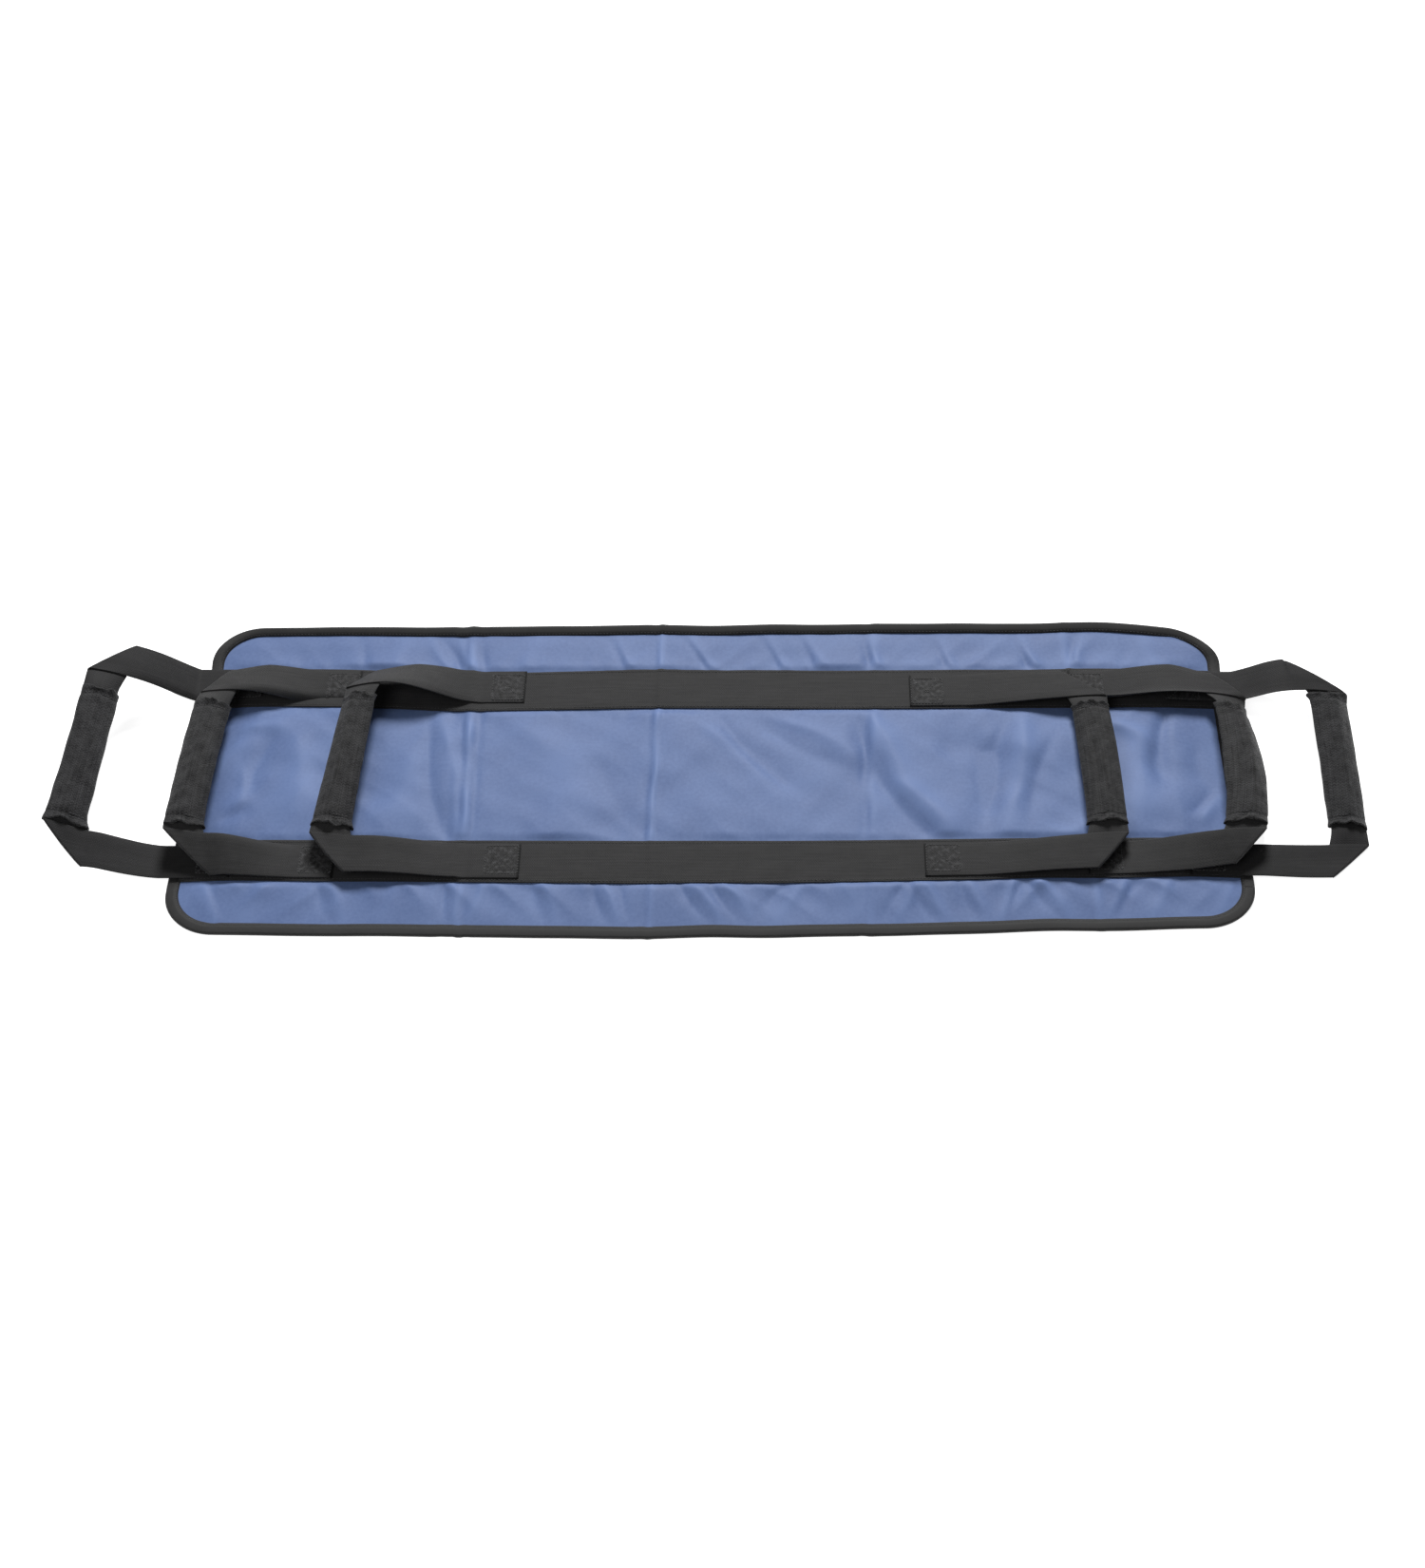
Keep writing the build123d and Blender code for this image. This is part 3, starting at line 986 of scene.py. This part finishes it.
    def folded(self, s, t, h):
        """World points for flat webbing: s from the middle of the grip, t across and h off its middle."""
        row = np.sign(s)
        q = np.abs(s)
        delta = (q - strap_offset + t) / np.sqrt(2)
        tau = (strap_offset - q + t) / np.sqrt(2)
        reach = FOLD_RADIUS * pi / 2
        angle = np.clip(delta / FOLD_RADIUS, -pi / 2, pi / 2)
        off = np.where(np.abs(delta) < reach, (FOLD_RADIUS + h) * np.cos(angle), reach - np.abs(delta))
        v = strap_offset - tau / np.sqrt(2) + off / np.sqrt(2)
        u = self.crossing + tau / np.sqrt(2) + off / np.sqrt(2)
        w = (FOLD_RADIUS + h) * np.sin(angle)
        return self.place(u, row * v, w)

    def half_run(self, spare):
        """Places from the middle of the grip to one sewn end, closer together at the fold."""
        end = strap_offset + self.crossing + self.pivot - self.sewn_start + spare
        step = 2.6 * MM
        near_fold = strap_offset + np.linspace(-3.2, 3.2, 21) * MM
        before = np.arange(0.0, near_fold[0] - 1 * MM, step)
        after = np.arange(near_fold[-1] + 2 * MM, end - 4 * MM, step)
        return np.concatenate([before, near_fold, after, end - np.array([2.6, 1.8, 0.9, 0.0]) * MM])

    def strap(self):
        """The whole strap in one piece: sewn end, leg, fold, crossing, fold, leg and sewn end."""
        front, rear = [self.half_run(spare) for spare in self.lie["spare"]]
        q = np.concatenate([-front[:0:-1], rear])
        t, h = strap_section(handle_half, web, 12)
        skew = 1 - smooth(np.abs(np.abs(q) - strap_offset), 4 * MM, 50 * MM)
        across = t[None, :]
        s = q[:, None] - np.sign(q)[:, None] * skew[:, None] * across
        rings = self.folded(s, across + 0 * s, h[None, :] + 0 * s)
        uv = np.stack([s, across + 0 * s], -1)
        # The outer handles take the darker copy of the webbing, which is painted shade
        webbing = shaded_outer_webbing if self.nest == "outer" else black_webbing
        piece = tube_piece(f"{self.name}_strap", rings, uv, webbing)
        to_end = np.where(s > 0, rear[-1] - s, s + front[-1])
        in_box = smooth(to_end, 2 * MM, 4 * MM) * (1 - smooth(to_end, 34 * MM, 36 * MM))
        # The darker cut end: partly singeing, partly painted shadow
        mark(piece, "singed_end_and_shade", 1 - smooth(to_end, 1.6 * MM, 3 * MM))
        mark(piece, "tacked", in_box * (1 - smooth(np.abs(across), box_half - 0.5 * MM, box_half + 1 * MM)))
        return piece

    def sleeve_profile(self):
        """Places across the grip and heights, once round the flattened tube with its lengthwise lap."""
        turn = np.linspace(0, TAU, 64, endpoint=False)
        wide, high = 21.6 * MM, 3.4 * MM
        t = wide * np.sign(np.cos(turn)) * np.abs(np.cos(turn)) ** 0.8
        w = high * np.sign(np.sin(turn)) * np.abs(np.sin(turn)) ** 0.75
        lap = smooth(t, -1.6 * MM, -0.2 * MM) * (1 - smooth(t, 1 * MM, 13 * MM))
        groove = np.exp(-((t + 5 * MM) / (3.5 * MM)) ** 2)
        w = w + np.where(w > 0, 1.3 * MM * lap - 1.0 * MM * groove, 0)
        return t, w, wide, high

    def sleeve(self):
        """A webbing sleeve sewn round the crossing strap, open at both ends."""
        half = self.sleeve_half
        ends = np.linspace(0, 12 * MM, 17)
        middle = np.linspace(-half + 14 * MM, half - 14 * MM, 60)
        v = np.concatenate([-half + ends, middle, half - ends[::-1]])
        t, w, wide, high = self.sleeve_profile()
        seed = sum(map(ord, self.name))
        relief = waves(seed, 0.022)
        ragged = waves(seed + 1, 0.012)
        vv, tt = np.meshgrid(v, t, indexing="ij")
        from_end = half - np.abs(vv)
        pinch = np.exp(-((from_end - 8 * MM) / (2.2 * MM)) ** 2)
        mouth = 1 - smooth(from_end, 0, 6 * MM)
        end_wave = 1.2 * MM * mouth * ragged(tt * 0.7, 0 * vv) * np.sign(vv)
        along = vv - end_wave + self.lie["slide"]
        shells = []
        for wall in (0, 1.1 * MM):
            puff = 1 + 0.09 * relief(vv, tt) - 0.24 * pinch + 0.45 * mouth + 0.35 * mouth * ragged(tt, vv)
            width = 1 - wall / wide + 0.015 * relief(vv * 0.6, 0 * tt) + 0.02 * mouth - 0.02 * pinch
            height = w[None, :] * puff * (1 - wall / high)
            shells.append(self.place(self.crossing + tt * width, along, height - FOLD_RADIUS))
        rings = np.concatenate([shells[0], shells[1][::-1]])
        uv = tube_uv(np.concatenate([v, v[::-1]]), t, w)
        return tube_piece(f"{self.name}_grip_sleeve", rings, uv, sleeve_webbing, closed=True, flip=True)

    def box_lines(self):
        """Start and end of every row of stitches in the two crossed boxes, as u and v."""
        lines = []
        for row, spare in zip(ROWS.values(), self.lie["spare"]):
            near_u = self.sewn_start + 3 * MM - self.pivot - spare
            far_u = near_u + 2 * box_half
            near_v, far_v = row * strap_offset - box_half, row * strap_offset + box_half
            corners = [(near_u, near_v), (far_u, near_v), (far_u, far_v), (near_u, far_v)]
            lines += list(zip(corners, corners[1:] + corners[:1]))
            lines += [(corners[0], corners[2]), (corners[1], corners[3])]
        return lines

    def box_stitches(self):
        """The stitches of the two crossed boxes, lying on the sewn ends."""
        height = FOLD_RADIUS + web / 2 + thread_gap
        ends = np.concatenate([stitch_ends(np.array(a), np.array(b)) for a, b in self.box_lines()])
        laid = self.place(ends[..., 0], ends[..., 1], height + 0 * ends[..., 0])
        return stitch_piece(f"{self.name}_box_stitches", laid, box_thread)

    def sleeve_stitches(self):
        """Rows of stitches across both ends of the sleeve."""
        half_row = 17 * MM
        ends = []
        for row in ROWS.values():
            for from_end in (7 * MM, 10 * MM):
                v = row * (self.sleeve_half - from_end)
                start = np.array([self.crossing - half_row, v])
                end = np.array([self.crossing + half_row, v])
                ends.append(stitch_ends(start, end))
        ends = np.concatenate(ends)
        across = (ends[..., 0] - self.crossing) / (22.2 * MM)
        height = 2.5 * MM * np.sqrt(np.clip(1 - across ** 2, 0, 1)) + 0.35 * MM
        laid = self.place(ends[..., 0], ends[..., 1] + self.lie["slide"], height - FOLD_RADIUS)
        return stitch_piece(f"{self.name}_grip_stitches", laid, box_thread)


def fasten(piece, body):
    """A piece of one material that moves with one body."""
    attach(piece, body)


handles = [Handle(f"{nest}_{side}") for side in SIDES for nest in NESTS]
for handle in handles:
    strap = handle.strap()
    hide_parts(f"{handle.name}_sewn_ends", f"{handle.name}_loop")
    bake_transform(strap)
    sleeve = handle.sleeve()
    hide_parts(f"{handle.name}_grip_sleeve")
    fasten(sleeve, handle.body)
    fasten(handle.sleeve_stitches(), handle.body)
    box_stitches = handle.box_stitches()
    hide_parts(f"{handle.name}_box_stitches")
    fasten(box_stitches, handle.pad_body)


# --- Stage, light and camera ---

def make_floor():
    """A white floor under the whole view."""
    size = 6.0
    corners = np.array([[-size, -size, 0], [size, -size, 0], [size, size, 0], [-size, size, 0]])
    floor = make_piece("floor", corners, [[0, 1, 2, 3]], corners[:, :2], shade_floor("white_floor"))


def area_light(name, place, aim, size, power):
    """A round soft light, aimed at a point."""
    data = bpy.data.lights.new(name, "AREA")
    data.shape = "DISK"
    data.size = size
    data.energy = power
    light = bpy.data.objects.new(name, data)
    light.location = place
    light.rotation_euler = (Vector(aim) - Vector(place)).to_track_quat("-Z", "Y").to_euler()
    bpy.context.collection.objects.link(light)


def make_world(strength):
    """Even white light from all round."""
    world = bpy.data.worlds.new("studio")
    world.use_nodes = True
    background = world.node_tree.nodes["Background"]
    background.inputs["Color"].default_value = (1, 1, 1, 1)
    background.inputs["Strength"].default_value = strength
    bpy.context.scene.world = world


def make_camera():
    """Looks down on the pad from in front, a little from the right, with a slight roll."""
    place = Vector((0.082, -1.337, 1.728))
    elevation, azimuth, roll = radians(52.5), radians(3.37), radians(2.9)
    camera = bpy.data.objects.new("camera", bpy.data.cameras.new("camera"))
    camera.data.lens = 50
    camera.data.sensor_width = 36
    turn = Matrix.Rotation(azimuth, 4, "Z") @ Matrix.Rotation(pi / 2 - elevation, 4, "X")
    camera.matrix_world = Matrix.Translation(place) @ turn @ Matrix.Rotation(-roll, 4, "Z")
    bpy.context.collection.objects.link(camera)
    bpy.context.scene.camera = camera


make_floor()
area_light("key", (0.35, 4.1, 3.9), (0, 0, 0), 1.7, 330)
area_light("fill", (-1.3, -1.5, 2.5), (-0.3, 0, 0), 1.8, 17)
make_world(0.10)
bpy.context.scene.view_settings.view_transform = "Standard"
make_camera()
